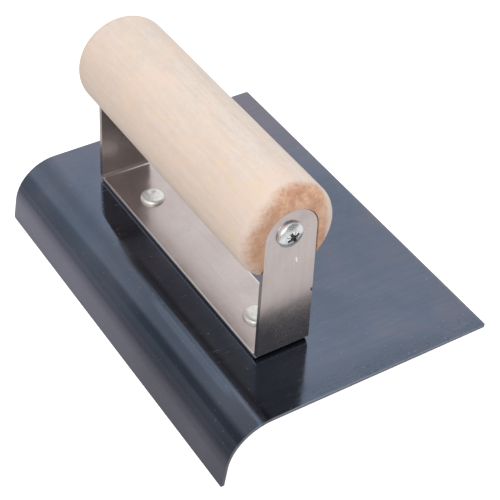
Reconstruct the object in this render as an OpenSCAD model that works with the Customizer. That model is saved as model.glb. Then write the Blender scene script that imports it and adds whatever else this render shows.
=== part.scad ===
// Hand edger for concrete: a blued steel blade with one long edge curled down, a steel strip
// bracket riveted on top of it, and a wooden handle screwed between the bracket's two legs.
// Millimetres. +Z is up and +Y runs along the blade. The origin is on the blade's flat
// working face, under the handle's centreline, halfway along the blade.

/* [Blade] */
// Length of the blade, in the direction of the handle
blade_l = 150; // [130:1:200]
// Thickness of the blade's sheet
blade_t = 1; // [0.8:0.1:1.6]
// From the handle's centreline to the blade's straight free edge
free_edge_x = 65.6; // [40:0.1:90]
// From the handle's centreline to the start of the curled lip
lip_start_x = 18.5; // [14:0.1:30]
// Inside radius of the curled lip
lip_r = 15.8; // [8:0.1:20]
// Angle that the curled lip turns through
lip_sweep = 82; // [60:0.5:88]
// Straight stretch of the lip below its curl
lip_tail = 8.1; // [3:0.1:12]

/* [Bracket] */
// Width of the strip where it lies on the blade
strip_w = 19.8; // [16:0.2:24]
// Thickness of the strip
strip_t = 1.6; // [1.2:0.1:2.4]
// Width of each leg at its rounded tip
leg_tip_w = 18.8; // [14:0.2:20]
// Height of the centre of each rounded tip above the working face
leg_tip_z = 51; // [46:0.5:56]
// Overall length of the bracket, across the outer faces of its legs
bracket_l = 106.7; // [96:0.1:108]
// How far the bracket's middle is behind the blade's middle
bracket_y = 1.45; // [0:0.05:3]
// Outside radius of the strip's two bends
bend_r = 3.1; // [2.8:0.1:6]

/* [Handle] */
// Diameter of the handle
handle_d = 34.2; // [28:0.2:38]
// Length of the handle
handle_l = 110.8; // [110.8:0.1:118]
// How far the handle's middle is behind the blade's middle
handle_y = 3.1; // [2:0.1:4]
// Height of the handle's axis above the working face
handle_z = 50.2; // [46:0.1:56]
// Radius of the rounding round each end
handle_round = 5.1; // [2:0.1:6]
// Gap between a leg and each side of the slot it is let into
slot_gap = 0.3; // [0.1:0.1:1]

/* [Screws] */
// How far the screws are from the handle's centreline, away from the lip
screw_x = -0.9; // [-3:0.1:3]
// Height of the screws above the working face
screw_z = 51.9; // [46:0.1:54]
// Diameter of the domed head
screw_head_d = 9.2; // [7:0.1:10]
// Height of the head at its middle
screw_head_h = 2.7; // [2:0.1:3]
// Height of the upright wall round the head
screw_wall_h = 1.1; // [0.6:0.1:1.6]
// Diameter of the plain shank and of the thread's crests
screw_d = 4.2; // [3.5:0.1:5]
// Diameter of the core between the threads
screw_core_d = 2.8; // [2:0.1:3.2]
// Length of the screw under its head
screw_l = 25; // [20:1:35]
// Length of the plain shank under the head
screw_plain_l = 8; // [5:0.5:10]
// Distance from one thread crest to the next
screw_pitch = 2; // [1.5:0.1:3]

/* [Rivets] */
// Diameter of the rivet's shank
rivet_d = 5; // [4:0.1:6]
// Diameter of the flattened head where it meets the bracket
rivet_head_d = 8.8; // [7:0.1:10]
// Height of the head
rivet_head_h = 1.7; // [1:0.1:2.5]
// Diameter of the flush foot in the working face
rivet_foot_d = 7.4; // [6:0.1:9]
// Distance between the two rivets
rivet_pitch = 69.5; // [40:0.1:80]
// How far the middle of the two rivets is behind the blade's middle
rivet_y = -0.5; // [-5:0.1:5]
// How far the rivets are from the handle's centreline, away from the lip
rivet_x = 0.2; // [-3:0.1:3]

/* [Hidden] */
$fn = 96;
// Overrun of a cutting shape past the face it cuts
over = 1;
// Straight steps that make up the curl
curl_steps = 40;
// Radial play of a fastener in its hole
play = 0.05;
// Outer faces of the two legs; the front one is on the -Y side
front_leg_y = bracket_y - bracket_l / 2;
rear_leg_y = bracket_y + bracket_l / 2;
// Ends of the handle
handle_front_y = handle_y - handle_l / 2;
handle_rear_y = handle_y + handle_l / 2;
// Top of the strip where it lies on the blade
strip_top_z = blade_t + strip_t;
// Centres of the two bends
bend_z = blade_t + bend_r;
// Hole through each leg for its screw
leg_hole_d = screw_d + 0.4;
// Radius of the sphere that crowns the screw's head
crown_h = screw_head_h - screw_wall_h;
crown_r = (pow(screw_head_d / 2, 2) + pow(crown_h, 2)) / (2 * crown_h);
// Length of the screw's point, and how many threads stand on the core above it
point_l = 4;
threads = floor((screw_l - screw_plain_l - point_l) / screw_pitch);
thread_half = 0.5;
// Cross recess in the screw's head, and the four short marks between its arms
recess_span = 5;
recess_w = 1.2;
recess_depth = 1.5;
recess_core_d = 2.6;
mark_w = 0.3;
mark_depth = 0.5;
mark_span = 6.4;
// The rivet's head narrows upwards, and its top edge is broken all round
rivet_top_d = rivet_head_d - 0.7;
rivet_edge = 0.3;
rivet_crown = 0.2;

module blade() {
    color([0.40, 0.44, 0.50])
    difference() {
        translate([0, blade_l / 2, 0])
            rotate([90, 0, 0])
            linear_extrude(blade_l)
            blade_section();
        rivet_places()
            rivet_hole();
    }
}

// A point on the curl at a share of its sweep, at a radius from the curl's centre
function curl_point(radius, share) =
    let (angle = 90 + lip_sweep * share)
    [radius * cos(angle) - lip_start_x, radius * sin(angle) - lip_r];

// The same radius at the lip's lower edge, a straight tail beyond the end of the curl
function lip_edge_point(radius) =
    let (angle = 90 + lip_sweep)
    curl_point(radius, 1) + lip_tail * [-sin(angle), cos(angle)];

// The flat, the curl and the lip's straight tail as one bent sheet, seen along the handle
module blade_section() {
    inner = lip_r;
    outer = lip_r + blade_t;
    shares = [for (step = [0 : curl_steps]) step / curl_steps];
    polygon(concat(
        [[free_edge_x, 0], [free_edge_x, blade_t]],
        [for (share = shares) curl_point(outer, share)],
        [lip_edge_point(outer), lip_edge_point(inner)],
        [for (share = shares) curl_point(inner, 1 - share)]));
}

module bracket() {
    color([0.72, 0.69, 0.67])
    difference() {
        union() {
            translate([-strip_w / 2, front_leg_y + bend_r, blade_t])
                cube([strip_w, bracket_l - 2 * bend_r, strip_t]);
            strip_bend(front_leg_y + bend_r, 180);
            strip_bend(rear_leg_y - bend_r, 270);
            upright(front_leg_y, strip_t)
                leg_outline(0);
            upright(rear_leg_y - strip_t, strip_t)
                leg_outline(0);
        }
        rivet_places()
            rivet_hole();
        translate([screw_x, front_leg_y - over, screw_z])
            rotate([-90, 0, 0])
            cylinder(d = leg_hole_d, h = strip_t + 2 * over);
        translate([screw_x, rear_leg_y + over, screw_z])
            rotate([90, 0, 0])
            cylinder(d = leg_hole_d, h = strip_t + 2 * over);
    }
}

// A quarter turn of the strip about the X direction, from start_angle
module strip_bend(centre_y, start_angle) {
    translate([-strip_w / 2, centre_y, bend_z])
        rotate([90, 0, 90])
        rotate([0, 0, start_angle])
        rotate_extrude(angle = 90)
        translate([bend_r - strip_t, 0])
        square([strip_t, strip_w]);
}

// Stands a flat outline up across the handle and thickens it towards +Y
module upright(low_y, thickness) {
    translate([0, low_y + thickness, 0])
        rotate([90, 0, 0])
        linear_extrude(thickness)
        children();
}

// A leg's outline: a slight taper up to a semicircular tip
module leg_outline(gap) {
    foot = strip_w / 2 + gap;
    tip = leg_tip_w / 2 + gap;
    polygon([[-foot, bend_z], [foot, bend_z], [tip, leg_tip_z], [-tip, leg_tip_z]]);
    translate([0, leg_tip_z])
        circle(r = tip);
}

module handle() {
    front_slot = front_leg_y + strip_t - handle_front_y;
    rear_slot = handle_rear_y - (rear_leg_y - strip_t);
    color([0.88, 0.80, 0.72])
    difference() {
        translate([0, handle_rear_y, handle_z])
            rotate([90, 0, 0])
            rounded_bar(handle_d / 2, handle_l, handle_round);
        upright(handle_front_y - over, front_slot + over)
            leg_outline(slot_gap);
        upright(rear_leg_y - strip_t, rear_slot + over)
            leg_outline(slot_gap);
        translate([screw_x, front_leg_y, screw_z])
            rotate([-90, 0, 0])
            cylinder(d = screw_d + 2 * play, h = screw_l + over);
        translate([screw_x, rear_leg_y, screw_z])
            rotate([90, 0, 0])
            cylinder(d = screw_d + 2 * play, h = screw_l + over);
    }
}

// A round bar whose ends are rounded over
module rounded_bar(radius, length, round) {
    rotate_extrude() {
        translate([0, round])
            square([radius, length - 2 * round]);
        square([radius - round, length]);
        for (end = [round, length - round])
            translate([radius - round, end])
            circle(r = round);
    }
}

module front_screw() {
    translate([screw_x, front_leg_y, screw_z])
        rotate([90, 0, 0])
        wood_screw();
}

module rear_screw() {
    translate([screw_x, rear_leg_y, screw_z])
        rotate([-90, 0, 0])
        wood_screw();
}

// A screw with its head's seat at z = 0 and its head upwards
module wood_screw() {
    thread_top = -screw_plain_l;
    thread_end = thread_top - threads * screw_pitch;
    core = screw_core_d / 2;
    crest = screw_d / 2;
    threaded = [for (i = [0 : threads - 1])
        let (z = thread_top - (i + 0.5) * screw_pitch)
        each [[core, z + thread_half], [crest, z], [core, z - thread_half]]];
    outline = concat(
        [[0, 0], [crest, 0], [crest, thread_top], [core, thread_top - (crest - core) / 2]],
        threaded,
        [[core, thread_end], [0, -screw_l]]);
    color([0.80, 0.82, 0.85])
    union() {
        rotate_extrude()
            polygon(outline);
        difference() {
            intersection() {
                cylinder(d = screw_head_d, h = screw_head_h);
                translate([0, 0, screw_head_h - crown_r])
                    sphere(r = crown_r);
            }
            cross_recess();
        }
    }
}

module cross_recess() {
    floor_z = screw_head_h - recess_depth;
    for (turn = [0, 90])
        rotate([0, 0, turn])
        translate([-recess_span / 2, -recess_w / 2, floor_z])
        cube([recess_span, recess_w, recess_depth + over]);
    translate([0, 0, floor_z - 0.3])
        cylinder(d = recess_core_d, h = recess_depth + over);
    for (turn = [45, 135])
        rotate([0, 0, turn])
        translate([-mark_span / 2, -mark_w / 2, screw_head_h - mark_depth])
        cube([mark_span, mark_w, mark_depth + over]);
}

module front_rivet() {
    translate([rivet_x, rivet_y - rivet_pitch / 2, 0])
        rivet();
}

module rear_rivet() {
    translate([rivet_x, rivet_y + rivet_pitch / 2, 0])
        rivet();
}

// A rivet with its foot flush in the working face at z = 0
module rivet() {
    color([0.82, 0.82, 0.78])
    rotate_extrude()
        polygon([
            [0, 0],
            [rivet_foot_d / 2, 0],
            [rivet_d / 2, blade_t],
            [rivet_d / 2, strip_top_z],
            [rivet_head_d / 2, strip_top_z],
            [rivet_top_d / 2, strip_top_z + rivet_head_h - rivet_crown - rivet_edge],
            [rivet_top_d / 2 - rivet_edge, strip_top_z + rivet_head_h - rivet_crown],
            [0, strip_top_z + rivet_head_h]]);
}

// The hole that both rivets pass through, countersunk in the working face
module rivet_hole() {
    cylinder(d = rivet_d + 2 * play, h = strip_top_z + over);
    translate([0, 0, -over])
        cylinder(d = rivet_foot_d + 2 * play, h = over);
    cylinder(d1 = rivet_foot_d + 2 * play, d2 = rivet_d + 2 * play, h = blade_t);
}

// Puts its child where each rivet is
module rivet_places() {
    for (side = [-1, 1])
        translate([rivet_x, rivet_y + side * rivet_pitch / 2, 0])
        children();
}

blade();
bracket();
handle();
front_screw();
rear_screw();
front_rivet();
rear_rivet();
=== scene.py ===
import math

import bmesh
import bpy
from mathutils import Matrix, Quaternion, Vector, noise

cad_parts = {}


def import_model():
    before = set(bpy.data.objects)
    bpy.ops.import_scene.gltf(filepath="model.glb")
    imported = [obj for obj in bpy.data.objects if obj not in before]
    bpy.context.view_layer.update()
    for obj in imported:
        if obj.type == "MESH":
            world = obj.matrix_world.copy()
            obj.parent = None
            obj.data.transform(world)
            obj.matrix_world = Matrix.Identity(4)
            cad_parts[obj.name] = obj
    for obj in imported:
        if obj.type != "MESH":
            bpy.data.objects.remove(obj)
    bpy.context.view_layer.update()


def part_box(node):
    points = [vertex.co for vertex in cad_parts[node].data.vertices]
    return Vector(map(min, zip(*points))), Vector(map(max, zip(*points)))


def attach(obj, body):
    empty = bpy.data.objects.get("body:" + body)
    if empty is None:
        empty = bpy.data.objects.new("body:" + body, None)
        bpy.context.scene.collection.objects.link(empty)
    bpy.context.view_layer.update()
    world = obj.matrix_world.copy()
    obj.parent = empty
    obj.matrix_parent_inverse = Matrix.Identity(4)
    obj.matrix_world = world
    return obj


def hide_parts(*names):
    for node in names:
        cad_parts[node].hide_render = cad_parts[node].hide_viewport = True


# A concrete hand edger: blued blade, satin strip bracket, wooden handle, screws and rivets.
# Lengths below are in millimetres, as in the part's own design, and mm() makes metres of them.

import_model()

# Blade: the sheet's thickness, the curled lip and the rounding of its corners
SHEET = 1.0
LIP_START = -18.5
LIP_INSIDE_R = 15.8
LIP_SWEEP = math.radians(82)
LIP_TAIL = 8.1
FREE_CORNER = 0.7
LIP_CORNER = 0.9
# Bracket: the strip's thickness, its bends and the round tips of its legs
STRIP = 1.6
BEND_R = 3.1
STRIP_HALF = 9.9
TIP_HALF = 9.4
# A slope added to the shading of the legs' faces alone: the legs themselves stand straight
LEG_LEAN = -0.056
# Handle: the rounding of its ends, the play of the legs in its slots, the height where the
# slots' cutters begin, and the depth of the screws' pilot holes
END_ROUND = 5.1
SLOT_GAP = 0.3
SLOT_FOOT = 20.0
PILOT_DEPTH = 26.0
# Screws: the domed head, the neck and its hole in the leg, the thread and the point
HEAD_H = 2.7
HEAD_WALL = 1.1
SHANK_R = 2.1
SHANK_L = 8.0
SCREW_PLAY = 0.2
SCREW_L = 25.0
CORE_R = 1.4
PITCH = 2.0
POINT_L = 4.0
# The screws' driver recess: a cross, a tapered middle and four fine marks between its arms
RECESS_SPAN = 5.0
RECESS_W = 1.2
RECESS_DEPTH = 1.5
RECESS_LOW_R = 0.75
RECESS_TOP_R = 1.35
MARK_SPAN = 6.4
MARK_W = 0.32
MARK_DEPTH = 0.55
# Rivets: shank, foot in the blade's countersink, hammered head, and play round the shank
RIVET_R = 2.5
FOOT_R = 3.7
HEAD_R = 4.4
RIVET_HEAD = 1.7
PLAY = 0.05
# Width of the narrow faces along a sheet's sides, which keep its shading flat
RIM = 0.5
# Rounding of the sheet's sheared edges, at most: the narrow rows at its corners hold it to 0.03
BLADE_EDGE = 0.18
# How far cutters reach past what they cut
PAST = 1.0
# How strongly the floor glows, which lights the tool from below
FLOOR_GLOW = 0.42


def mm(value):
    return value * 0.001


def box_mm(node):
    low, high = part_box(node)
    return Vector(low) * 1000, Vector(high) * 1000


blade_low, blade_high = box_mm("blade")
bracket_low, bracket_high = box_mm("bracket")
handle_low, handle_high = box_mm("handle")
HANDLE_R = (handle_high.z - handle_low.z) / 2
HANDLE_Z = (handle_high.z + handle_low.z) / 2
TIP_Z = bracket_high.z - TIP_HALF
STRIP_TOP = SHEET + STRIP


# ---------------------------------------------------------------- meshes

def new_piece(name, mesh_data):
    """Puts a bmesh made in millimetres into the scene, in metres, with its normals outwards."""
    bmesh.ops.recalc_face_normals(mesh_data, faces=mesh_data.faces)
    bmesh.ops.scale(mesh_data, vec=(0.001, 0.001, 0.001), verts=mesh_data.verts)
    mesh = bpy.data.meshes.new(name)
    mesh_data.to_mesh(mesh)
    mesh_data.free()
    piece = bpy.data.objects.new(name, mesh)
    bpy.context.scene.collection.objects.link(piece)
    return piece


def smooth(piece, angle):
    """Shades smooth, with creases where faces meet at more than the angle in degrees."""
    work = bmesh.new()
    work.from_mesh(piece.data)
    limit = math.radians(angle)
    for face in work.faces:
        face.smooth = True
    for edge in work.edges:
        edge.smooth = len(edge.link_faces) == 2 and edge.calc_face_angle() < limit
    work.to_mesh(piece.data)
    work.free()


def apply_modifiers(piece):
    """Makes the modifiers' result the piece's own mesh."""
    bpy.context.view_layer.update()
    graph = bpy.context.evaluated_depsgraph_get()
    made = bpy.data.meshes.new_from_object(piece.evaluated_get(graph))
    piece.modifiers.clear()
    piece.data = made


def cut(piece, cutters):
    """Takes each cutter's shape out of the piece and removes the cutters."""
    for cutter in cutters:
        boolean = piece.modifiers.new("cut", "BOOLEAN")
        boolean.operation = "DIFFERENCE"
        boolean.solver = "EXACT"
        boolean.object = cutter
    apply_modifiers(piece)
    for cutter in cutters:
        bpy.data.objects.remove(cutter, do_unlink=True)


def thicken(piece, thickness):
    solid = piece.modifiers.new("thickness", "SOLIDIFY")
    solid.thickness = mm(thickness)
    solid.offset = 0
    solid.use_even_offset = True
    apply_modifiers(piece)


def break_edges(piece, width, segments, angle):
    """Rounds the piece's sharp edges, found by an angle in degrees, and shades it smooth."""
    bevel = piece.modifiers.new("edges", "BEVEL")
    bevel.width = mm(width)
    bevel.segments = segments
    bevel.limit_method = "ANGLE"
    bevel.angle_limit = math.radians(angle)
    bevel.use_clamp_overlap = True
    bevel.miter_outer = "MITER_ARC"
    bevel.harden_normals = False
    apply_modifiers(piece)
    smooth(piece, 40)


def strip_grid(rows, across):
    """A sheet through rows of (middle point, half width), with a narrow column along each side."""
    work = bmesh.new()
    grid = []
    for middle, half, along in rows:
        inner = half - min(RIM, half * 0.1)
        spread = [-half] + [inner * (2 * i / (across - 2) - 1) for i in range(across - 1)] + [half]
        grid.append([work.verts.new(middle + along * place) for place in spread])
    for upper, lower in zip(grid, grid[1:]):
        for i in range(across):
            work.faces.new((upper[i], upper[i + 1], lower[i + 1], lower[i]))
    bmesh.ops.remove_doubles(work, verts=work.verts, dist=0.001)
    bmesh.ops.dissolve_degenerate(work, edges=work.edges, dist=0.001)
    return work


def lathe(outline, steps, place, wobble=None):
    """A solid of revolution through (radius, height) points, put in place by a matrix."""
    work = bmesh.new()
    rings = []
    for radius, height in outline:
        if radius == 0:
            rings.append([work.verts.new((0, 0, height))])
            continue
        ring = []
        for step in range(steps):
            turn = 2 * math.pi * step / steps
            point = Vector((radius * math.cos(turn), radius * math.sin(turn), height))
            if wobble:
                point = wobble(point)
            ring.append(work.verts.new(point))
        rings.append(ring)
    for low, high in zip(rings, rings[1:]):
        for step in range(steps):
            after = (step + 1) % steps
            corners = [low[step % len(low)], low[after % len(low)],
                       high[after % len(high)], high[step % len(high)]]
            work.faces.new(list(dict.fromkeys(corners)))
    bmesh.ops.transform(work, matrix=place, verts=work.verts)
    return work


def prism(outline, low, high, place):
    """A straight solid over a flat outline of (x, y) points, put in place by a matrix."""
    work = bmesh.new()
    bottom = [work.verts.new((x, y, low)) for x, y in outline]
    top = [work.verts.new((x, y, high)) for x, y in outline]
    work.faces.new(bottom[::-1])
    work.faces.new(top)
    for i in range(len(outline)):
        after = (i + 1) % len(outline)
        work.faces.new((bottom[i], bottom[after], top[after], top[i]))
    bmesh.ops.transform(work, matrix=place, verts=work.verts)
    return work


def arc(centre, radius, start, end, steps):
    """Points of an arc, with angles in degrees."""
    turns = [math.radians(start + (end - start) * i / steps) for i in range(steps + 1)]
    return [(centre[0] + radius * math.cos(t), centre[1] + radius * math.sin(t)) for t in turns]


def facing(point, side):
    """Turns a shape that stands on z = 0 to stand out of a leg: side -1 is the front one."""
    turn = Matrix.Rotation(math.radians(-90 * side), 4, "X")
    return Matrix.Translation(point) @ turn


# ---------------------------------------------------------------- blade

def blade_rows():
    middle_r = LIP_INSIDE_R + SHEET / 2
    flat = blade_high.x - LIP_START
    curl = middle_r * LIP_SWEEP
    total = flat + curl + LIP_TAIL
    corner = [1 - math.cos(math.radians(turn)) for turn in (0, 18, 36, 54, 72, 90)]
    places = [FREE_CORNER * share for share in corner]
    places += [FREE_CORNER + (flat - FREE_CORNER) * i / 24 for i in range(1, 25)]
    places += [flat + curl * i / 56 for i in range(1, 57)]
    places += [total - LIP_TAIL * 0.6, total - LIP_TAIL * 0.3]
    places += [total - LIP_CORNER * share for share in reversed(corner)]
    rows = []
    for place in places:
        turn = min(max((place - flat) / middle_r, 0), LIP_SWEEP)
        tail = max(place - flat - curl, 0)
        x = blade_high.x - min(place, flat) - middle_r * math.sin(turn) - tail * math.cos(turn)
        z = SHEET / 2 - middle_r * (1 - math.cos(turn)) - tail * math.sin(turn)
        half = blade_high.y
        for gap, radius in ((place, FREE_CORNER), (total - place, LIP_CORNER)):
            if gap < radius:
                half -= radius - math.sqrt(max(radius ** 2 - (radius - gap) ** 2, 0))
        rows.append((Vector((x, 0, z)), half, Vector((0, 1, 0))))
    return rows


def rivet_middles():
    for node in ("front_rivet", "rear_rivet"):
        low, high = box_mm(node)
        yield (low.x + high.x) / 2, (low.y + high.y) / 2


def rivet_cutters(top):
    """What the rivets' countersunk holes take out, up to a height."""
    outline = [(0, -PAST), (FOOT_R + PLAY, -PAST), (FOOT_R + PLAY, 0), (RIVET_R + PLAY, SHEET),
               (RIVET_R + PLAY, top), (0, top)]
    return [new_piece("cutter", lathe(outline, 48, Matrix.Translation((x, y, 0))))
            for x, y in rivet_middles()]


def blade_piece():
    piece = new_piece("blade_sheet", strip_grid(blade_rows(), 40))
    thicken(piece, SHEET)
    break_edges(piece, BLADE_EDGE, 2, 50)
    cut(piece, rivet_cutters(SHEET + PAST))
    smooth(piece, 40)
    return piece


# ---------------------------------------------------------------- bracket

def leg_half(z):
    """Half the leg's width at a height: a slight taper, then the round tip."""
    foot = SHEET + BEND_R
    if z <= TIP_Z:
        return STRIP_HALF + (TIP_HALF - STRIP_HALF) * (z - foot) / (TIP_Z - foot)
    return math.sqrt(max(TIP_HALF ** 2 - (z - TIP_Z) ** 2, 0))


def leg_heights():
    tip = [TIP_Z + TIP_HALF * math.sin(math.radians(90 - 5 * i)) for i in range(19)]
    foot = SHEET + BEND_R
    return tip + [TIP_Z + (foot - TIP_Z) * i / 20 for i in range(1, 21)]


def bracket_rows():
    across = Vector((1, 0, 0))
    front = bracket_low.y + STRIP / 2
    rear = bracket_high.y - STRIP / 2
    middle_r = BEND_R - STRIP / 2
    bend_z = SHEET + BEND_R
    heights = leg_heights()
    bend = [math.radians(9 * i) for i in range(1, 10)]
    rows = [(Vector((0, front, z)), leg_half(z), across) for z in heights]
    rows += [(Vector((0, front + middle_r * (1 - math.cos(t)), bend_z - middle_r * math.sin(t))),
              STRIP_HALF, across) for t in bend]
    first, last = front + middle_r, rear - middle_r
    rows += [(Vector((0, first + (last - first) * i / 30, bend_z - middle_r)), STRIP_HALF, across)
             for i in range(1, 30)]
    rows += [(Vector((0, rear - middle_r * (1 - math.cos(t)), bend_z - middle_r * math.sin(t))),
              STRIP_HALF, across) for t in reversed([0.0] + bend)]
    rows += [(Vector((0, rear, z)), leg_half(z), across) for z in heights[-2::-1]]
    return rows


def bracket_piece():
    piece = new_piece("bracket_strip", strip_grid(bracket_rows(), 14))
    thicken(piece, STRIP)
    x, z = screw_axis("front_screw")
    reach = blade_high.y + 5
    radius = SHANK_R + SCREW_PLAY
    hole = [(0, -reach), (radius, -reach), (radius, reach), (0, reach)]
    through_both_legs = new_piece("cutter", lathe(hole, 40, facing((x, 0, z), -1)))
    cut(piece, rivet_cutters(STRIP_TOP + PAST) + [through_both_legs])
    smooth(piece, 40)
    return piece


# ---------------------------------------------------------------- handle

def handle_outline():
    """(radius, distance along) points of the turned handle, ends rounded over."""
    length = handle_high.y - handle_low.y
    inner = HANDLE_R - END_ROUND
    start = [(0, 0)] + [(inner * i / 8, 0) for i in range(1, 8)]
    start += arc((inner, END_ROUND), END_ROUND, -90, 0, 14)
    barrel = [(HANDLE_R, END_ROUND + (length - 2 * END_ROUND) * i / 40) for i in range(1, 40)]
    finish = [(radius, length - along) for radius, along in reversed(start)]
    return start + barrel + finish


def turned(point):
    """The small unevenness of a turned and sanded bar, never outside its true size."""
    radius = math.hypot(point.x, point.y)
    slow = noise.noise(Vector((point.x * 0.03, point.y * 0.03, point.z * 0.045)))
    share = 1 - (0.09 + 0.09 * slow) / HANDLE_R * min(radius / (HANDLE_R - END_ROUND), 1)
    return Vector((point.x * share, point.y * share, point.z))


def leg_outline(gap):
    """The leg's outline with a gap all round, open below the handle."""
    low = leg_half(SLOT_FOOT) + gap
    points = [(-low, SLOT_FOOT), (low, SLOT_FOOT)]
    return points + arc((0, TIP_Z), TIP_HALF + gap, 0, 180, 48)


def handle_piece():
    lay = Matrix.Rotation(math.radians(-90), 4, "X")
    lay = Matrix.Translation((0, handle_low.y, HANDLE_Z)) @ lay
    piece = new_piece("handle_wood", lathe(handle_outline(), 160, lay, turned))
    stand = Matrix.Rotation(math.radians(90), 4, "X")
    slot = leg_outline(SLOT_GAP)
    front = prism(slot, -(bracket_low.y + STRIP), -(handle_low.y - 2 * PAST), stand)
    rear = prism(slot, -(handle_high.y + 2 * PAST), -(bracket_high.y - STRIP), stand)
    cutters = [new_piece("cutter", front), new_piece("cutter", rear)]
    radius = SHANK_R + PLAY
    hole = [(0, -PILOT_DEPTH), (radius, -PILOT_DEPTH), (radius, 2 * PAST), (0, 2 * PAST)]
    ends = (("front_screw", -1, bracket_low.y), ("rear_screw", 1, bracket_high.y))
    for node, side, leg_y in ends:
        x, z = screw_axis(node)
        cutters.append(new_piece("cutter", lathe(hole, 40, facing((x, leg_y, z), side))))
    cut(piece, cutters)
    smooth(piece, 42)
    return piece


# ---------------------------------------------------------------- screws

def screw_axis(node):
    low, high = box_mm(node)
    return (low.x + high.x) / 2, (low.z + high.z) / 2


def screw_outline(head_r):
    """(radius, height) points from the point to the crown, with the head's seat at height 0."""
    crown = HEAD_H - HEAD_WALL
    ball = (head_r ** 2 + crown ** 2) / (2 * crown)
    rim = math.degrees(math.acos(head_r / ball))
    outline = [(0, -SCREW_L), (CORE_R * 0.35, -SCREW_L + 0.8), (CORE_R, -SCREW_L + POINT_L)]
    turns = int((SCREW_L - SHANK_L - POINT_L) / PITCH)
    for i in reversed(range(turns)):
        crest = -SHANK_L - (i + 0.5) * PITCH
        outline += [(CORE_R, crest - 0.5), (SHANK_R, crest - 0.06)]
        outline += [(SHANK_R, crest + 0.06), (CORE_R, crest + 0.5)]
    outline += [(CORE_R, -SHANK_L - 0.4), (SHANK_R, -SHANK_L), (SHANK_R, 0), (head_r - 0.25, 0)]
    outline += [(head_r, 0.25), (head_r, HEAD_WALL - 0.2)]
    dome = arc((0, HEAD_H - ball), ball, rim + 3, 90, 16)
    return outline + dome[:-1] + [(0, HEAD_H)]


def recess_arm(width, span, bottom, place):
    """A cutter for one slot of the recess, a little narrower at its bottom."""
    work = bmesh.new()
    bmesh.ops.create_cube(work, size=1)
    for vert in work.verts:
        grow, height = (1.0, HEAD_H + PAST) if vert.co.z > 0 else (0.78, bottom)
        vert.co = Vector((vert.co.x * span * grow, vert.co.y * width * grow, height))
    bmesh.ops.transform(work, matrix=place, verts=work.verts)
    return new_piece("cutter", work)


def screw_piece(name, node, side, leg_y, turn):
    """A screw through the leg on one side, with its recess turned by an angle in degrees."""
    x, z = screw_axis(node)
    low, high = box_mm(node)
    place = facing((x, leg_y, z), side) @ Matrix.Rotation(math.radians(turn), 4, "Z")
    piece = new_piece(name, lathe(screw_outline((high.x - low.x) / 2), 72, place))
    bottom = HEAD_H - RECESS_DEPTH
    cutters = []
    for angle in (0, 90):
        spin = place @ Matrix.Rotation(math.radians(angle), 4, "Z")
        cutters.append(recess_arm(RECESS_W, RECESS_SPAN, bottom, spin))
    core = [(0, bottom - 0.3), (RECESS_LOW_R, bottom - 0.3), (RECESS_TOP_R, HEAD_H + PAST)]
    core.append((0, HEAD_H + PAST))
    cutters.append(new_piece("cutter", lathe(core, 32, place)))
    for angle in (45, 135):
        spin = place @ Matrix.Rotation(math.radians(angle), 4, "Z")
        cutters.append(recess_arm(MARK_W, MARK_SPAN, HEAD_H - MARK_DEPTH, spin))
    cut(piece, cutters)
    smooth(piece, 38)
    return piece


# ---------------------------------------------------------------- rivets

def rivet_outline():
    """(radius, height) points: foot in the countersink, shank, and a flattened head."""
    top = STRIP_TOP + RIVET_HEAD
    outline = [(0, 0), (FOOT_R * 0.5, 0), (FOOT_R, 0), (RIVET_R, SHEET), (RIVET_R, STRIP_TOP)]
    outline += [(HEAD_R - 0.22, STRIP_TOP), (HEAD_R - 0.05, STRIP_TOP + 0.25)]
    outline += [(HEAD_R - 0.12, STRIP_TOP + 0.8), (HEAD_R - 0.4, top - 0.42)]
    outline += [(HEAD_R - 0.75, top - 0.24), (HEAD_R - 1.3, top - 0.16)]
    outline += [(HEAD_R * share, top - 0.13) for share in (0.6, 0.45, 0.3, 0.15, 0)]
    return outline


def rivet_piece(name, node, seed):
    low, high = box_mm(node)
    x, y = (low.x + high.x) / 2, (low.y + high.y) / 2

    def peened(point):
        """Hammered unevenness above the strip: dents on top and an outline that isn't quite round."""
        if point.z <= STRIP_TOP:
            return point
        rise = min((point.z - STRIP_TOP) / RIVET_HEAD, 1)
        spot = Vector((point.x * 0.42, point.y * 0.42, seed))
        slow = noise.noise(spot)
        fast = noise.noise(spot * 3.1)
        inward = 1 - 0.05 * rise * (0.55 + 0.45 * slow)
        drop = 0.16 * rise * (0.5 - slow * 0.7) + 0.07 * rise * fast
        return Vector((point.x * inward, point.y * inward, point.z - max(drop, -0.12)))

    piece = new_piece(name, lathe(rivet_outline(), 56, Matrix.Translation((x, y, 0)), peened))
    smooth(piece, 50)
    return piece


# ---------------------------------------------------------------- materials

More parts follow.
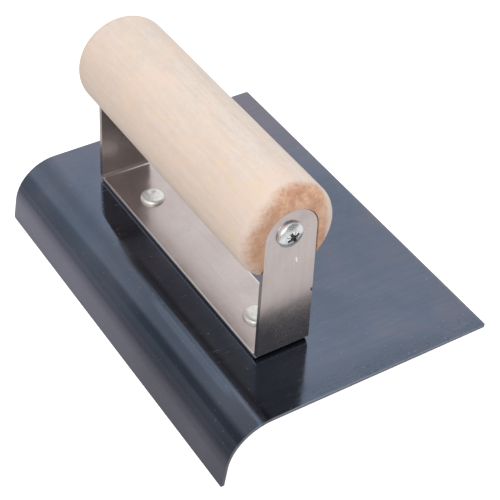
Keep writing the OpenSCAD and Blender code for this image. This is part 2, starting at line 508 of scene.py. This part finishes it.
class Paint:
    """One material's node tree, built with short calls. Texture space is in millimetres."""

    def __init__(self, name, metallic):
        self.material = bpy.data.materials.new(name)
        self.material.use_nodes = True
        self.tree = self.material.node_tree
        self.shader = self.tree.nodes["Principled BSDF"]
        self.shader.inputs["Metallic"].default_value = metallic
        coordinates = self.tree.nodes.new("ShaderNodeTexCoord").outputs["Object"]
        self.space = self.mapped((1000, 1000, 1000), source=coordinates)
        axes = self.add("ShaderNodeSeparateXYZ", self.space)
        self.x, self.y, self.z = axes.outputs

    def add(self, kind, *inputs):
        """A new node with its first inputs linked to sockets or set to plain values."""
        node = self.tree.nodes.new(kind)
        for socket, value in zip(node.inputs, inputs):
            self.give(socket, value)
        return node

    def give(self, socket, value):
        if isinstance(value, bpy.types.NodeSocket):
            self.tree.links.new(value, socket)
        elif value is not None:
            socket.default_value = value

    def set(self, name, value):
        self.give(self.shader.inputs[name], value)

    def mapped(self, scale, turn=(0, 0, 0), shift=(0, 0, 0), source=None):
        node = self.tree.nodes.new("ShaderNodeMapping")
        self.give(node.inputs["Vector"], source or self.space)
        node.inputs["Scale"].default_value = scale
        node.inputs["Rotation"].default_value = [math.radians(angle) for angle in turn]
        node.inputs["Location"].default_value = shift
        return node.outputs["Vector"]

    def noise(self, vector, scale=1.0, detail=3.0, rough=0.5, warp=0.0):
        node = self.tree.nodes.new("ShaderNodeTexNoise")
        self.give(node.inputs["Vector"], vector)
        settings = (("Scale", scale), ("Detail", detail), ("Roughness", rough), ("Distortion", warp))
        for name, value in settings:
            node.inputs[name].default_value = value
        return node.outputs["Fac"]

    def math(self, operation, first, second=None):
        node = self.add("ShaderNodeMath", first, second)
        node.operation = operation
        return node.outputs[0]

    def times(self, first, second):
        return self.math("MULTIPLY", first, second)

    def plus(self, first, second):
        return self.math("ADD", first, second)

    def minus(self, first, second):
        return self.math("SUBTRACT", first, second)

    def size(self, value):
        return self.math("ABSOLUTE", value)

    def band(self, value, start, end, low=0.0, high=1.0):
        """Goes smoothly from low to high as the value goes from start to end."""
        node = self.tree.nodes.new("ShaderNodeMapRange")
        node.interpolation_type = "SMOOTHSTEP"
        self.give(node.inputs["Value"], value)
        ends = (("From Min", start), ("From Max", end), ("To Min", low), ("To Max", high))
        for name, number in ends:
            node.inputs[name].default_value = number
        return node.outputs["Result"]

    def strip(self, value, start, full, last, end):
        """A soft strip: 1 from full to last, fading to 0 at start and at end."""
        return self.times(self.band(value, start, full), self.band(value, end, last))

    def specks(self, shift, scale, detail, start, end, rough=0.5):
        """Scattered spots: where a noise rises from start to end."""
        return self.band(self.noise(self.mapped((1, 1, 1), shift=shift), scale, detail, rough), start, end)

    def mix(self, share, first, second, blend="MIX"):
        node = self.tree.nodes.new("ShaderNodeMix")
        node.data_type = "RGBA"
        node.blend_type = blend
        node.clamp_factor = True
        self.give(node.inputs[0], share)
        for socket, value in ((node.inputs[6], first), (node.inputs[7], second)):
            self.give(socket, (*value, 1) if isinstance(value, tuple) else value)
        return node.outputs[2]

    def mark(self, color, where, strength, mark_color):
        """Lays a colour over another where a mask says, at a strength."""
        return self.mix(self.times(where, strength), color, mark_color)

    def ramp(self, value, stops):
        node = self.tree.nodes.new("ShaderNodeValToRGB")
        self.give(node.inputs["Fac"], value)
        marks = node.color_ramp.elements
        while len(marks) < len(stops):
            marks.new(0.5)
        for mark, (place, color) in zip(marks, stops):
            mark.position = place
            mark.color = (*color, 1)
        return node.outputs["Color"]

    def shade(self, color, value, low, high):
        """Multiplies a colour by a grey that goes from low to high with the value."""
        grey = self.ramp(value, [(0.25, (low,) * 3), (0.75, (high,) * 3)])
        return self.mix(1.0, color, grey, "MULTIPLY")

    def bump(self, layers):
        """Stacks bumps given as (height, depth in millimetres)."""
        normal = None
        for height, depth in layers:
            node = self.tree.nodes.new("ShaderNodeBump")
            node.inputs["Strength"].default_value = 1.0
            node.inputs["Distance"].default_value = mm(depth)
            self.give(node.inputs["Height"], height)
            self.give(node.inputs["Normal"], normal)
            normal = node.outputs["Normal"]
        self.set("Normal", normal)


# Blued steel: the blade

def blued_steel():
    paint = Paint("blued_steel", 1.0)
    mottle = paint.noise(paint.space, 0.04, 5, 0.62, 0.6)
    cloud = paint.noise(paint.mapped((0.012, 0.02, 0.012), shift=(3, 1, 7)), 1, 3, 0.5, 0.4)
    brushed = paint.noise(paint.mapped((0.05, 0.9, 0.6), turn=(0, 0, -7)), 1, 6, 0.7)
    fleck = paint.specks((9, 2, 4), 1.3, 2, 0.69, 0.75)
    dust = paint.specks((4, 7, 1), 0.9, 1, 0.735, 0.76, rough=0.4)
    scratch = hairlines(paint, ((23, 0.16), (-52, 0.2), (71, 0.18)), 0.80)
    marks = paint.math("MAXIMUM", scratch, dust)
    # The lip's bands are painted reflections.
    color = lip_painted_reflections(paint, oxide_color(paint, mottle), mottle)
    color = paint.shade(color, cloud, 0.9, 1.1)
    # Painted shade: a darker strip along the blade's near end.
    color = near_end_painted_shade(paint, rolling_marks(paint, color, brushed))
    color = paint.mark(color, fleck, 0.45, (0.09, 0.095, 0.115))
    color = near_end_rub(paint, color)
    color = paint.mark(color, marks, 0.14, (0.50, 0.51, 0.55))
    paint.set("Base Color", worn_edges(paint, color, mottle))
    paint.set("Roughness", blued_roughness(paint, brushed, cloud, marks))
    grain = paint.noise(paint.space, 3.2, 4, 0.7)
    wave = paint.noise(paint.mapped((0.05, 0.03, 0.05), shift=(5, 5, 5)), 1, 1, 0.4)
    paint.bump([(wave, 0.14), (brushed, 0.004), (grain, 0.0022), (fleck, -0.004)])
    return paint.material


def oxide_color(paint, mottle):
    """Blue oxide, turning purple towards the far right, with a greyer lower edge of the lip."""
    blue = paint.ramp(mottle, [(0.3, (0.130, 0.162, 0.223)), (0.5, (0.149, 0.181, 0.245)),
                               (0.72, (0.180, 0.189, 0.245))])
    distance = paint.plus(paint.y, paint.times(paint.x, 0.7))
    color = paint.mix(paint.band(distance, 35, 130, 0, 0.95), blue, (0.242, 0.225, 0.276))
    return paint.mix(paint.band(paint.x, -31, -35), color, (0.115, 0.1135, 0.152))


def lip_painted_reflections(paint, color, mottle):
    """Painted reflections in bands along the curled lip: paler to the rear, dark at its start, a lighter
    sheen beside that and a narrow dark stripe.
    """
    # Painted reflection: the lip paler towards the rear.
    paler_painted_reflection = paint.shade(color, paint.band(paint.y, -75, 75), 0.93, 1.5)
    color = paint.mix(paint.band(paint.x, -20, -30), color, paler_painted_reflection)
    # Painted reflection: dark where the lip begins, on the near half.
    start = paint.strip(paint.x, -17.5, -20, -21.6, -23.4)
    start = paint.times(start, paint.band(paint.y, 22, 6))
    color = paint.mark(color, start, 0.9, (0.045, 0.055, 0.08))
    # Painted sheen: a lighter band just beyond the lip's start, on the near half.
    painted_sheen = paint.strip(paint.x, -22.6, -23.6, -24.4, -26.2)
    painted_sheen = paint.times(painted_sheen, paint.strip(paint.y, 0, -20, -50, -68))
    color = paint.shade(color, painted_sheen, 1, 1.3)
    # Painted reflection: a narrow dark stripe along the lip, fading out towards the rear.
    near = paint.band(paint.plus(paint.y, paint.times(mottle, 30)), 45, -30)
    painted_dark_stripe = paint.times(paint.strip(paint.x, -28.4, -29.4, -30.5, -31.1), near)
    return paint.mark(color, painted_dark_stripe, 0.75, (0.065, 0.085, 0.125))


def rolling_marks(paint, color, brushed):
    """Fine lines, brushed across the flat and drawn along the lip."""
    rolled = paint.noise(paint.mapped((0.6, 0.012, 0.6)), 1, 5, 0.65)
    lines = paint.mix(paint.band(paint.x, -20, -30), brushed, rolled)
    return paint.shade(color, lines, 0.93, 1.07)


def near_end_painted_shade(paint, color):
    """A slightly darker strip along the blade's near end: painted shade."""
    front = paint.times(paint.band(paint.y, -56, -74), paint.band(paint.x, 58, 20, 0.55, 1))
    return paint.shade(color, front, 1, 0.87)


def near_end_rub(paint, color):
    """Small dark rubbed spots close to the near end's edge."""
    lay = paint.mapped((0.8, 1.2, 1), turn=(0, 0, 20), shift=(1, 3, 6))
    rub = paint.band(paint.noise(lay, 1, 2, 0.5), 0.56, 0.64)
    rub = paint.times(rub, paint.band(paint.y, -66, -73, 0, 0.45))
    return paint.mix(rub, color, (0.085, 0.09, 0.11))


def worn_edges(paint, color, mottle):
    """Bare, browned steel along the free edge and the two ends."""
    side = blade_high.x
    free = paint.band(paint.plus(paint.x, paint.times(mottle, 3)), side, side + 1.8)
    ends = paint.band(paint.size(paint.y), blade_high.y - 0.2, blade_high.y)
    return paint.mark(color, paint.math("MAXIMUM", free, ends), 0.4, (0.27, 0.24, 0.23))


def blued_roughness(paint, brushed, cloud, marks):
    rough = paint.band(brushed, 0.3, 0.75, 0.07, 0.12)
    rough = paint.plus(rough, paint.band(cloud, 0.35, 0.7, 0, 0.04))
    rough = paint.plus(rough, paint.times(marks, 0.25))
    smudge = paint.noise(paint.mapped((0.12, 0.3, 0.12), turn=(0, 0, 25)), 1, 4, 0.6)
    return paint.plus(rough, paint.times(paint.band(smudge, 0.52, 0.7), 0.05))


def hairlines(paint, directions, level):
    """Fine short scratches on the flat, in directions given as (angle, how short they are)."""
    total = None
    for i, (angle, along) in enumerate(directions):
        lay = paint.mapped((along, 2.4, 0.4), turn=(0, 0, angle), shift=(i * 11, i * 7, 0))
        line = paint.band(paint.noise(lay, 1, 1, 0.3), level, level + 0.02)
        total = line if total is None else paint.math("MAXIMUM", total, line)
    return total


# Satin steel: the bracket

def satin_steel():
    paint = Paint("satin_steel", 0.95)
    cloud = paint.noise(paint.space, 0.07, 4, 0.6, 0.5)
    rolled = paint.noise(paint.mapped((1.8, 0.05, 0.05)), 1, 5, 0.6)
    grain = paint.noise(paint.space, 1.9, 5, 0.7)
    pits = paint.specks((3, 8, 1), 0.8, 2, 0.725, 0.765)
    edge = rubbed_edge_highlight(paint)
    color = paint.ramp(cloud, [(0.3, (0.58, 0.505, 0.49)), (0.6, (0.655, 0.58, 0.565))])
    color = paint.shade(color, rolled, 0.95, 1.04)
    color = paint.shade(color, grain, 0.96, 1.03)
    color = paint.mark(color, pits, 0.45, (0.28, 0.25, 0.24))
    color = strip_marks(paint, color)
    # Painted highlight along the strip's upper side edges, laid on rubbed bright metal.
    color = paint.mark(color, edge, 0.8, (0.97, 0.94, 0.92))
    # Painted shadow: a dark line low on the strip's sides, where it lies on the blade.
    painted_contact_shadow = paint.band(paint.z, SHEET + 0.9, SHEET + 0.1)
    color = paint.mark(color, painted_contact_shadow, 0.85, (0.06, 0.06, 0.07))
    paint.set("Base Color", color)
    rough = paint.band(cloud, 0.3, 0.7, 0.20, 0.26)
    rough = paint.plus(rough, paint.band(grain, 0.4, 0.75, 0, 0.03))
    paint.set("Roughness", paint.plus(rough, paint.times(edge, 0.25)))
    paint.bump([(cloud, 0.05), (rolled, 0.003), (grain, 0.0008), (pits, -0.004), (paint.z, LEG_LEAN)])
    return paint.material


def strip_marks(paint, color):
    """Stains, the front leg's bright scratch and its dark nick, and the dark sheared sides, partly painted
    shade, more of it on the front leg.
    """
    stain = paint.specks((1, 4, 9), 0.16, 3, 0.6, 0.72, rough=0.6)
    color = paint.mark(color, stain, 0.2, (0.45, 0.40, 0.38))
    color = paint.mix(spot(paint, 2.6, 39.8, 0.4, 1.3), color, (0.95, 0.93, 0.92))
    color = paint.mix(spot(paint, 9.4, 24.2, 0.5, 0.9), color, (0.12, 0.11, 0.115))
    # Painted shade on the strip's sides, stronger on the front leg, over their own duller sheared colour.
    dark = paint.times(sheared_sides_and_shade(paint), paint.band(paint.y, -20, 20, 0.85, 0.35))
    return paint.mix(dark, color, (0.20, 0.185, 0.19))


def rubbed_edge_highlight(paint):
    """Where the strip lying on the blade has its upper side edges: rubbed bright, with a painted highlight
    along them.
    """
    rim = paint.band(paint.size(paint.x), STRIP_HALF - 0.55, STRIP_HALF - 0.3)
    height = paint.band(paint.z, STRIP_TOP - 0.7, STRIP_TOP - 0.4)
    ceiling = paint.band(paint.z, STRIP_TOP + 0.6, STRIP_TOP + 0.2)
    return paint.times(paint.times(rim, height), ceiling)


def spot(paint, x, z, wide, high):
    """A small mark on the front leg's outer face, with its middle and half sizes."""
    rise = paint.minus(paint.z, z)
    across = paint.minus(paint.plus(paint.x, paint.times(rise, 0.15)), x)
    across = paint.math("POWER", paint.math("DIVIDE", across, wide), 2)
    along = paint.math("POWER", paint.math("DIVIDE", rise, high), 2)
    ragged = paint.noise(paint.space, 1.6, 2, 0.5)
    inside = paint.band(paint.plus(paint.plus(across, along), ragged), 1.5, 1.1)
    return paint.times(inside, paint.band(paint.y, bracket_low.y + 0.5, bracket_low.y + 0.3))


def sheared_sides_and_shade(paint):
    """Where the strip's sides are: darker than its faces, partly as the shears leave them and partly
    painted shade.
    """
    normal = paint.add("ShaderNodeNewGeometry")
    split = paint.add("ShaderNodeSeparateXYZ", normal.outputs["True Normal"])
    return paint.band(paint.size(split.outputs["X"]), 0.3, 0.8)


# Wood: the handle

def handle_wood():
    paint = Paint("handle_wood", 0.0)
    rings = growth_rings(paint)
    fibre = paint.noise(paint.mapped((1.7, 0.09, 1.7)), 1, 5, 0.75)
    fine = paint.noise(paint.mapped((5, 0.5, 5)), 1, 3, 0.6)
    early, late = (0.728, 0.645, 0.586), (0.698, 0.593, 0.520)
    color = paint.ramp(rings, [(0.3, late), (0.5, early), (0.68, late)])
    streak = paint.noise(paint.mapped((0.75, 0.035, 0.75), shift=(5, 1, 9)), 1, 3, 0.6)
    color = paint.mix(paint.band(streak, 0.35, 0.65, 0, 0.24), color, (0.65, 0.50, 0.39))
    curl = paint.noise(paint.mapped((0.4, 0.22, 0.4), shift=(3, 4, 8)), 1, 3, 0.6)
    color = paint.shade(color, curl, 0.95, 1.045)
    color = paint.shade(color, fibre, 0.965, 1.025)
    color = paint.shade(color, fine, 0.97, 1.02)
    color = wood_marks(paint, color)
    # Painted warm shade: a warmer, peach tint on the handle's left side.
    color = paint.mix(paint.band(paint.x, 2, -16, 0, 0.35), color, (0.83, 0.62, 0.49))
    color = paint.mix(end_grain(paint), color, end_grain_color(paint))
    paint.set("Base Color", color)
    paint.set("Roughness", paint.band(fibre, 0.3, 0.7, 0.5, 0.64))
    paint.set("Specular IOR Level", 0.4)
    paint.bump([(rings, 0.03), (fibre, 0.03), (fine, 0.02)])
    return paint.material


def growth_rings(paint):
    """Faint figure, drawn out along the handle and bent sideways by a slow noise."""
    soft = paint.noise(paint.mapped((0.08, 0.012, 0.08), shift=(2, 2, 2)), 1, 3, 0.5, 0.3)
    side = paint.plus(paint.x, paint.times(soft, 7))
    rise = paint.plus(paint.z, paint.times(soft, 9))
    figure = paint.add("ShaderNodeCombineXYZ", side, paint.times(paint.y, 0.03), rise)
    return paint.noise(figure.outputs[0], 0.30, 3, 0.5)


def wood_marks(paint, color):
    """Warm blotches, yellow flecks, short dark dashes and, in places, fine cross ripples."""
    blotch = paint.noise(paint.space, 0.06, 4, 0.55, 0.5)
    color = paint.mix(paint.band(blotch, 0.45, 0.68, 0, 0.55), color, (0.79, 0.615, 0.51))
    flecks = paint.noise(paint.mapped((0.45, 0.13, 0.45), shift=(4, 9, 3)), 1, 2, 0.5)
    flecks = paint.times(paint.band(flecks, 0.58, 0.70), paint.band(paint.x, 7, -7, 0.05, 0.5))
    color = paint.mix(flecks, color, (0.79, 0.62, 0.40))
    dashes = paint.noise(paint.mapped((1.5, 0.5, 1.5), shift=(6, 3, 8)), 1, 2, 0.5)
    color = paint.mark(color, paint.band(dashes, 0.60, 0.70), 0.42, (0.66, 0.49, 0.38))
    ripple = paint.noise(paint.mapped((0.5, 2.2, 0.5), shift=(2, 8, 4)), 1, 2, 0.5)
    patch = paint.noise(paint.mapped((0.06, 0.02, 0.06), shift=(7, 1, 3)), 1, 2, 0.5)
    ripple = paint.times(paint.band(ripple, 0.60, 0.70), paint.band(patch, 0.45, 0.6))
    return paint.mark(color, ripple, 0.5, (0.68, 0.52, 0.42))


def end_grain(paint):
    """How much of the end grain's colour shows: all of it on the flat ends, fading over the
    rounding. It reaches less far at the rear end and at the sides, and further at the top."""
    middle = (handle_high.y + handle_low.y) / 2
    half = (handle_high.y - handle_low.y) / 2
    ragged = paint.noise(paint.mapped((0.16, 0.16, 0.16), shift=(8, 1, 5)), 1, 5, 0.6)
    rough = paint.noise(paint.mapped((1.2, 1.2, 1.2), shift=(2, 6, 5)), 1, 3, 0.7)
    reach = paint.size(paint.minus(paint.y, middle))
    reach = paint.plus(reach, paint.times(paint.minus(ragged, 0.5), 4.5))
    reach = paint.plus(reach, paint.times(paint.minus(rough, 0.5), 3.2))
    # Less reach on the right side leaves a pale rim of side-grain colour: a painted highlight where the
    # rounding catches the light.
    reach = paint.minus(reach, paint.band(paint.x, 9.5, 16, 0, 5))
    reach = paint.minus(reach, paint.band(paint.y, 0, 30, 0, 2.4))
    reach = paint.minus(reach, paint.band(paint.x, -3, -12, 0, 1.3))
    upper = paint.band(paint.z, HANDLE_Z + 4, HANDLE_Z + 15, 0, 1.5)
    reach = paint.plus(reach, paint.times(upper, paint.band(paint.x, -9, 0)))
    return paint.band(reach, half - 5.2, half - 0.2)


def end_grain_color(paint):
    cloud = paint.noise(paint.mapped((0.3, 0.3, 0.22), shift=(1, 1, 6)), 1, 5, 0.65)
    color = paint.ramp(cloud, [(0.3, (0.470, 0.225, 0.135)), (0.5, (0.620, 0.355, 0.230)),
                               (0.72, (0.760, 0.505, 0.355))])
    arcs = paint.noise(paint.mapped((0.3, 0.3, 2.4), turn=(0, 30, 0), shift=(2, 2, 2)), 1, 3, 0.6)
    color = paint.shade(color, arcs, 0.88, 1.1)
    # Darker and browner towards the left side: painted shade, with some browner colour of the end grain's
    # own.
    color = paint.mix(paint.band(paint.x, 0, -12, 0, 0.55), color, (0.43, 0.215, 0.115))
    return paint.shade(color, paint.noise(paint.space, 2.2, 4, 0.7), 0.80, 1.14)


# Bright zinc plate: the screws

def zinc_plate():
    paint = Paint("zinc_plate", 0.85)
    cloud = paint.noise(paint.space, 0.5, 3, 0.5)
    fine = paint.noise(paint.space, 5.0, 4, 0.7)
    color = paint.ramp(cloud, [(0.35, (0.84, 0.86, 0.89)), (0.5, (0.93, 0.93, 0.93)),
                               (0.68, (0.94, 0.93, 0.90))])
    color = paint.shade(color, fine, 0.92, 1.04)
    # Painted shade inside the driver recesses.
    color = paint.mix(recess_painted_shade(paint), color, (0.22, 0.22, 0.20))
    paint.set("Base Color", color)
    paint.set("Roughness", paint.band(fine, 0.3, 0.7, 0.19, 0.30))
    paint.bump([(cloud, 0.03), (fine, 0.004)])
    return paint.material


def recess_painted_shade(paint):
    """The inside of the screws' driver recesses: painted shade, where the recess holds the dark."""
    axis_x, axis_z = screw_axis("front_screw")
    x = paint.math("POWER", paint.minus(paint.x, axis_x), 2)
    z = paint.math("POWER", paint.minus(paint.z, axis_z), 2)
    radius = paint.math("SQRT", paint.plus(x, z))
    middle = (bracket_low.y + bracket_high.y) / 2
    crown = (bracket_high.y - bracket_low.y) / 2 + HEAD_H
    out = paint.size(paint.minus(paint.y, middle))
    deep = paint.band(out, crown - 0.35, crown - 0.75)
    return paint.times(deep, paint.band(radius, 2.9, 2.5))


# Peened metal: the rivets

def peened_metal():
    paint = Paint("peened_metal", 0.7)
    patch = paint.noise(paint.space, 0.55, 2, 0.5, 0.4)
    color = paint.ramp(patch, [(0.32, (0.80, 0.80, 0.77)), (0.5, (0.93, 0.925, 0.90)),
                               (0.7, (0.97, 0.965, 0.95))])
    color = paint.shade(color, paint.noise(paint.space, 2.6, 4, 0.7), 0.98, 1.01)
    paint.set("Base Color", color)
    paint.set("Roughness", paint.band(patch, 0.3, 0.7, 0.30, 0.38))
    paint.bump([(paint.noise(paint.space, 0.45, 1, 0.4), 0.08)])
    return paint.material


# ---------------------------------------------------------------- assembly

def dress(piece, material, node):
    """Gives a piece its material, puts it under the root body and hides the CAD node it stands for."""
    piece.data.materials.clear()
    piece.data.materials.append(material)
    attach(piece, "root")
    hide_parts(node)


def make_pieces():
    dress(blade_piece(), blued_steel(), "blade")
    dress(bracket_piece(), satin_steel(), "bracket")
    dress(handle_piece(), handle_wood(), "handle")
    zinc = zinc_plate()
    front = screw_piece("front_wood_screw", "front_screw", -1, bracket_low.y, 28)
    rear = screw_piece("rear_wood_screw", "rear_screw", 1, bracket_high.y, 71)
    dress(front, zinc, "front_screw")
    dress(rear, zinc, "rear_screw")
    peened = peened_metal()
    dress(rivet_piece("front_rivet_set", "front_rivet", 4.7), peened, "front_rivet")
    dress(rivet_piece("rear_rivet_set", "rear_rivet", 1.9), peened, "rear_rivet")


# ---------------------------------------------------------------- studio

def camera():
    """Looks down on the tool from the near left, past the lip, with a slight roll."""
    aim = Vector((mm(14.95), mm(-7.94), mm(4.07)))
    azimuth = math.radians(-34.12)
    elevation = math.radians(41.64)
    roll = math.radians(3.22)
    distance = mm(520)
    data = bpy.data.cameras.new("camera")
    data.sensor_width = 36
    data.lens = 108.8
    data.clip_start = 0.01
    data.clip_end = 50
    viewer = bpy.data.objects.new("camera", data)
    level = math.cos(elevation)
    forward = Vector((-math.sin(azimuth) * level, math.cos(azimuth) * level, -math.sin(elevation)))
    viewer.location = aim - forward * distance
    viewer.rotation_mode = "QUATERNION"
    viewer.rotation_quaternion = forward.to_track_quat("-Z", "Y") @ Quaternion((0, 0, 1), roll)
    bpy.context.scene.collection.objects.link(viewer)
    bpy.context.scene.camera = viewer


def calculate(tree, operation, *inputs):
    """A math node whose inputs are sockets or numbers."""
    node = tree.nodes.new("ShaderNodeMath")
    node.operation = operation
    for socket, value in zip(node.inputs, inputs):
        if isinstance(value, bpy.types.NodeSocket):
            tree.links.new(value, socket)
        else:
            socket.default_value = value
    return node.outputs[0]


def smooth_step(tree, value, start, end, low, high):
    """Goes smoothly from low to high as the value goes from start to end."""
    node = tree.nodes.new("ShaderNodeMapRange")
    node.interpolation_type = "SMOOTHSTEP"
    tree.links.new(value, node.inputs["Value"])
    ends = (("From Min", start), ("From Max", end), ("To Min", low), ("To Max", high))
    for name, number in ends:
        node.inputs[name].default_value = number
    return node.outputs["Result"]


def floor():
    """A wide white sweep under the tool, level with the lip's lower edge."""
    work = bmesh.new()
    bmesh.ops.create_grid(work, x_segments=8, y_segments=8, size=4000)
    bmesh.ops.translate(work, vec=(0, 0, blade_low.z), verts=work.verts)
    piece = new_piece("floor", work)
    piece.data.materials.append(floor_white())


def floor_white():
    """White to the camera. In the metal its glow fades out to the left of the lip, and matt
    surfaces get less of it."""
    material = bpy.data.materials.new("floor_white")
    material.use_nodes = True
    tree = material.node_tree
    shader = tree.nodes["Principled BSDF"]
    shader.inputs["Base Color"].default_value = (0.35, 0.35, 0.35, 1)
    shader.inputs["Roughness"].default_value = 0.9
    shader.inputs["Specular IOR Level"].default_value = 0.1
    shader.inputs["Emission Color"].default_value = (1, 1, 1, 1)
    rays = tree.nodes.new("ShaderNodeLightPath").outputs
    place = tree.nodes.new("ShaderNodeSeparateXYZ")
    tree.links.new(tree.nodes.new("ShaderNodeNewGeometry").outputs["Position"], place.inputs[0])
    loss = smooth_step(tree, place.outputs["X"], mm(-38), mm(-90), 0, -FLOOR_GLOW)
    glow = calculate(tree, "MULTIPLY_ADD", rays["Is Camera Ray"], 0.6, FLOOR_GLOW)
    glow = calculate(tree, "MULTIPLY_ADD", rays["Is Diffuse Ray"], -0.17, glow)
    glow = calculate(tree, "MULTIPLY_ADD", rays["Is Glossy Ray"], loss, glow)
    tree.links.new(glow, shader.inputs["Emission Strength"])
    return material


def mix_levels(tree, share, first, second):
    """The level first, turning into second as the share goes from 0 to 1."""
    node = tree.nodes.new("ShaderNodeMix")
    for socket, value in zip((node.inputs["Factor"], node.inputs["A"], node.inputs["B"]),
                             (share, first, second)):
        if isinstance(value, bpy.types.NodeSocket):
            tree.links.new(value, socket)
        else:
            socket.default_value = value
    return node.outputs["Result"]


def world():
    """A soft studio all round, white throughout. What the metal reflects dims in two steps to
    the left beyond the tool, and in one patch high up to the right on the near side. Matt
    surfaces are lit by a plain dome that is a little brighter above."""
    made = bpy.data.worlds.new("studio")
    bpy.context.scene.world = made
    made.use_nodes = True
    tree = made.node_tree
    direction = tree.nodes.new("ShaderNodeTexCoord").outputs["Generated"]

    def toward(vector, start, end, low, high):
        """A level that goes from low to high as the direction turns towards a vector."""
        dot = tree.nodes.new("ShaderNodeVectorMath")
        dot.operation = "DOT_PRODUCT"
        tree.links.new(direction, dot.inputs[0])
        dot.inputs[1].default_value = Vector(vector).normalized()
        return smooth_step(tree, dot.outputs["Value"], start, end, low, high)

    patch = toward((0.45, -0.75, 0.5), 0.45, 0.9, 0.90, 0.17)
    first_step = toward((1, 0, 0), -0.2, 0.34, 0.57, 1.0)
    second_step = toward((1, 0, 0), -0.62, -0.52, 0.60, 1.0)
    beyond = toward((0, 1, 0), 0.2, 0.45, 0.0, 1.0)
    steps = calculate(tree, "MULTIPLY", first_step, second_step)
    pattern = calculate(tree, "MULTIPLY", patch, mix_levels(tree, beyond, 1.0, steps))
    dome = toward((0, 0, 1), -0.1, 0.8, 0.76, 1.0)
    diffuse = tree.nodes.new("ShaderNodeLightPath").outputs["Is Diffuse Ray"]
    background = tree.nodes["Background"]
    background.inputs["Color"].default_value = (1, 1, 1, 1)
    tree.links.new(mix_levels(tree, diffuse, pattern, dome), background.inputs["Strength"])


def softbox(name, place, size, power):
    """A square area light aimed at the handle, with its place and size in metres."""
    data = bpy.data.lights.new(name, "AREA")
    data.shape = "SQUARE"
    data.size = size
    data.energy = power
    lamp = bpy.data.objects.new(name, data)
    lamp.location = place
    aim = Vector((0, 0, mm(HANDLE_Z))) - Vector(place)
    lamp.rotation_mode = "QUATERNION"
    lamp.rotation_quaternion = aim.to_track_quat("-Z", "Y")
    bpy.context.scene.collection.objects.link(lamp)


camera()
make_pieces()
floor()
world()
softbox("overhead", (0.2, 0.25, 1.3), 1.1, 2.6)
softbox("front_left", (-0.7, -1.0, 0.65), 1.1, 3.8)
bpy.context.scene.view_settings.view_transform = "Standard"
